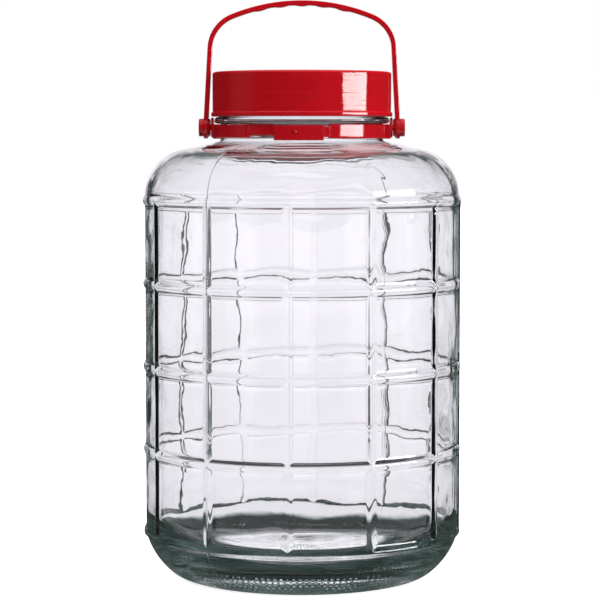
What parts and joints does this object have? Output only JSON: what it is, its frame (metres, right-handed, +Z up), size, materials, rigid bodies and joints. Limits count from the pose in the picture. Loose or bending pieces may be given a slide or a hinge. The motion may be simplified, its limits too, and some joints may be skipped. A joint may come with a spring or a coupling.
{
  "type": "large glass jar with screw lid and carry handle",
  "caption": "Large ribbed clear glass jar for drinks or food, with a red screw lid and a red strap handle that swings on a ring round its neck.",
  "frame": {"origin": "centre of the jar's foot, on the surface it stands on", "axes": "+Z up along the jar's axis, -Y towards the front where the neck ring's clasp is, +X to the right of it"},
  "size_m": [0.225, 0.225, 0.4071],
  "materials": {
    "clear_glass": "gloss",
    "red_plastic": "gloss",
    "red_ring_plastic": "gloss",
    "liner_foam": "matte"
  },
  "bodies": {
    "jar": {"glass_jar": "clear_glass"},
    "liner": {"lid_liner": "liner_foam"},
    "lid": {"lid": "red_plastic"},
    "ring": {"neck_ring": "red_ring_plastic", "pivot_pin_left": "red_ring_plastic", "pivot_pin_right": "red_ring_plastic"},
    "handle": {"handle": "red_plastic"}
  },
  "joints": [
    {"name": "lid_rise", "type": "slide", "parent": "jar", "child": "liner", "axis": [0, 0, 1], "range_m": [0, 0.0101]},
    {"name": "lid_turn", "type": "hinge", "parent": "liner", "child": "lid", "pos_m": [0, 0, 0.3256], "axis": [0, 0, 1], "range_deg": [0, 450]},
    {"name": "ring_swivel", "type": "hinge", "parent": "jar", "child": "ring", "pos_m": [0, 0, 0.3158], "axis": [0, 0, 1], "continuous": true},
    {"name": "handle_swing", "type": "hinge", "parent": "ring", "child": "handle", "pos_m": [0, 0, 0.31794], "axis": [1, 0, 0], "range_deg": [-95, 95]}
  ],
  "couplings": [
    {"joint": "lid_rise", "follows": "lid_turn", "m_per_rad": 0.0012732}
  ]
}
